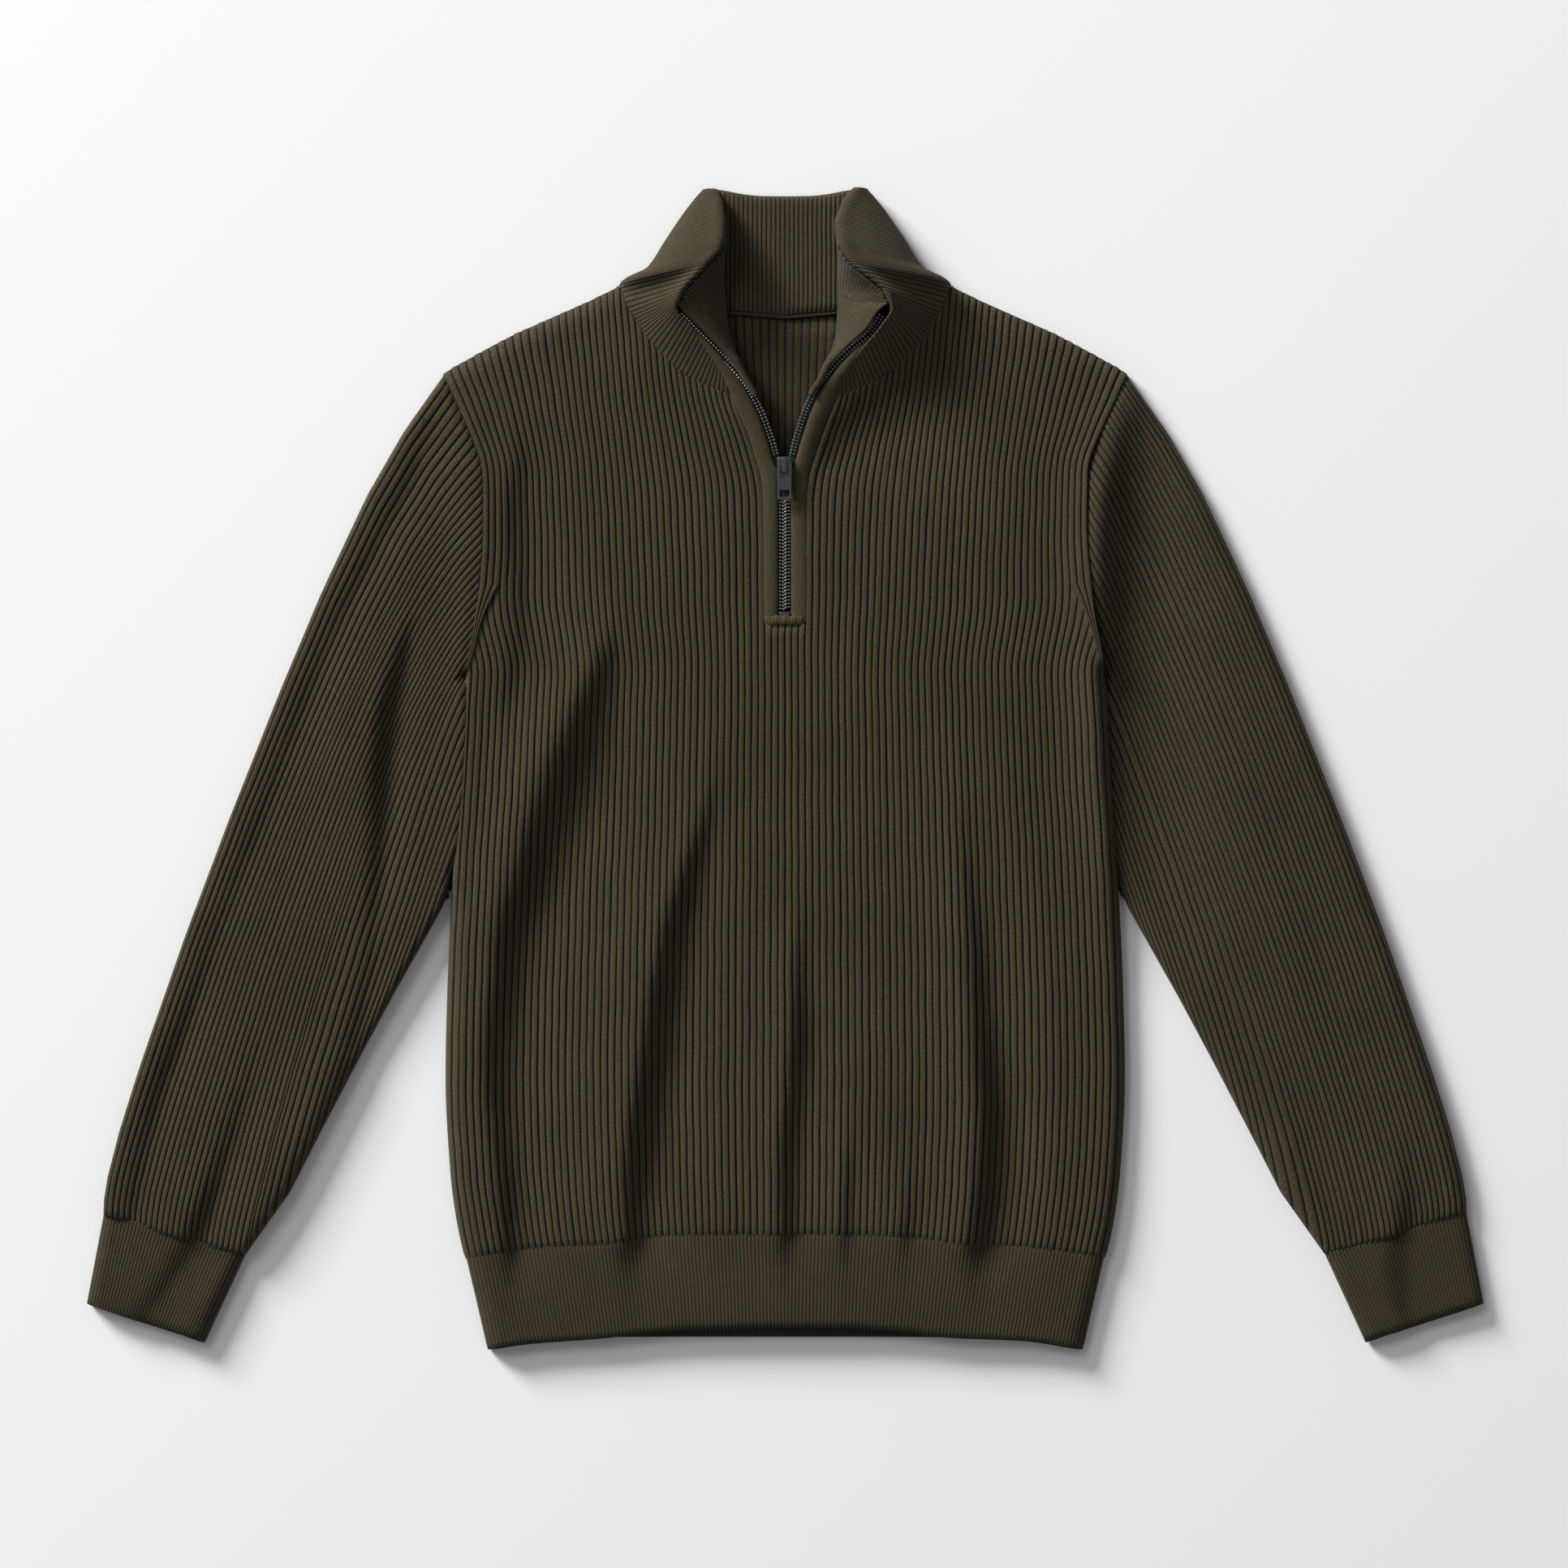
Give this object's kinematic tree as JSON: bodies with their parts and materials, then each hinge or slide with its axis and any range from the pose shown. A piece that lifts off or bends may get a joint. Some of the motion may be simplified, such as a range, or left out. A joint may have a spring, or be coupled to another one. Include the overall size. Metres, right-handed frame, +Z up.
{
  "type": "quarter zip sweater",
  "caption": "Rib-knit pullover with a funnel collar and a half-open front zip, laid flat on its back with the sleeves out to the sides.",
  "frame": {"origin": "on the underside of the back panel, under the middle of the chest", "axes": "+X to the garment's left sleeve as seen from above on the right, +Y to the collar, +Z up from the surface it lies on"},
  "size_m": [0.8966, 0.7453, 0.036],
  "materials": {
    "rib_knit": "melange olive brown wide rib knit",
    "fine_rib": "melange olive brown fine rib knit",
    "plain_knit": "olive plain knit",
    "zip_tape": "black woven tape",
    "zip_teeth": "dark metal teeth",
    "gunmetal": "gunmetal plating"
  },
  "bodies": {
    "garment": {"body_front": "rib_knit", "body_back": "rib_knit", "hem_front": "fine_rib", "hem_back": "fine_rib", "sleeve_left": "rib_knit", "sleeve_right": "rib_knit", "cuff_left": "fine_rib", "cuff_right": "fine_rib", "collar_left": "fine_rib", "collar_right": "fine_rib", "collar_back": "fine_rib", "collar_facing_left": "plain_knit", "collar_facing_right": "plain_knit", "neck_seam": "plain_knit", "placket_left": "plain_knit", "placket_right": "plain_knit", "placket_end": "plain_knit", "zip_tape_left": "zip_tape", "zip_tape_right": "zip_tape", "zip_chain": "zip_teeth", "zip_stop": "gunmetal", "zip_slider": "gunmetal"},
    "pull_tab": {"zip_pull": "gunmetal"}
  },
  "joints": [
    {"name": "pull_hinge", "type": "hinge", "parent": "garment", "child": "pull_tab", "pos_m": [-0.0005, 0.1942, 0.0183], "axis": [-1, 0, 0], "range_deg": [0, 165]}
  ]
}
